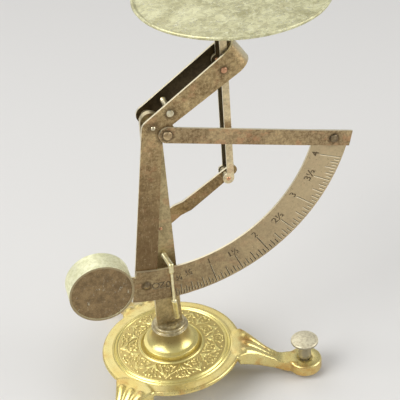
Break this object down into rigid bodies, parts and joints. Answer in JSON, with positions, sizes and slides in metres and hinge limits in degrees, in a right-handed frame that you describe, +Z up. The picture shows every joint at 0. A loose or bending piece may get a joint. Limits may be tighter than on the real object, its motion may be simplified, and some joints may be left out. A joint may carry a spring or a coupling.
{
  "type": "pendulum letter scale",
  "caption": "Small pendulum letter scale: round pan on a folded rod, forked beam with engraved quadrant dial and drum counterweight, on a footed round base.",
  "frame": {"origin": "on the floor under the middle of the part's box; the post's axis stands at x = -17 mm, y = -8.4 mm", "axes": "+Z up, +X to the reader's right, towards the pan; the reader stands at -Y and reads the dial"},
  "size_m": [0.1342, 0.1141, 0.1869],
  "materials": {
    "cast_brass": "polished",
    "aged_brass": "aged satin",
    "collar_brass": "aged satin",
    "pale_brass": "dull",
    "wire_brass": "polished",
    "pan_metal": "mottled satin",
    "copper_pin": "satin",
    "bright_pin": "polished",
    "case_brass": "mottled",
    "core_metal": "pitted"
  },
  "bodies": {
    "stand": {"base_casting": "cast_brass", "base_washer": "pale_brass", "base_nut": "pale_brass", "post_collar": "collar_brass", "post": "aged_brass", "pivot_pin": "bright_pin", "pivot_spacer_front": "aged_brass", "pivot_spacer_back": "aged_brass", "pointer_wire": "wire_brass", "link_post_pin": "copper_pin", "link_post_washer": "aged_brass"},
    "screw": {"levelling_screw": "pale_brass"},
    "beam": {"beam_lever": "aged_brass", "cross_pin": "bright_pin", "spoke": "aged_brass", "spoke_rivet_inner": "aged_brass", "spoke_rivet_outer": "aged_brass", "quadrant": "aged_brass", "quadrant_rivet": "aged_brass", "counterweight_case": "case_brass", "counterweight_core": "core_metal", "counterweight_rivet": "aged_brass", "pan_pin": "copper_pin", "pan_pin_washer_front": "aged_brass", "pan_pin_washer_back": "aged_brass"},
    "rod": {"pan_rod": "aged_brass", "link_pin": "copper_pin", "link_pin_spacer_front": "aged_brass", "link_pin_spacer_back": "aged_brass", "pan": "pan_metal", "pan_rivet": "aged_brass"},
    "link": {"lower_link": "aged_brass"}
  },
  "joints": [
    {"name": "beam_swing", "type": "hinge", "parent": "stand", "child": "beam", "pos_m": [-0.017, -0.0084, 0.1372], "axis": [0, 1, 0], "range_deg": [-2, 69]},
    {"name": "rod_pivot", "type": "hinge", "parent": "beam", "child": "rod", "pos_m": [0.01352, -0.0084, 0.1574], "axis": [0, 1, 0], "range_deg": [-69.5, 2.5]},
    {"name": "link_swing", "type": "hinge", "parent": "stand", "child": "link", "pos_m": [-0.017, -0.0084, 0.0846], "axis": [0, 1, 0], "range_deg": [-2.5, 69.5]},
    {"name": "screw_turn", "type": "hinge", "parent": "stand", "child": "screw", "pos_m": [0.04135, -0.02513, 0.008], "axis": [0, 0, 1], "range_deg": [-360, 360]}
  ],
  "couplings": [
    {"joint": "rod_pivot", "follows": "beam_swing", "ratio": -1},
    {"joint": "link_swing", "follows": "beam_swing", "ratio": 1}
  ]
}
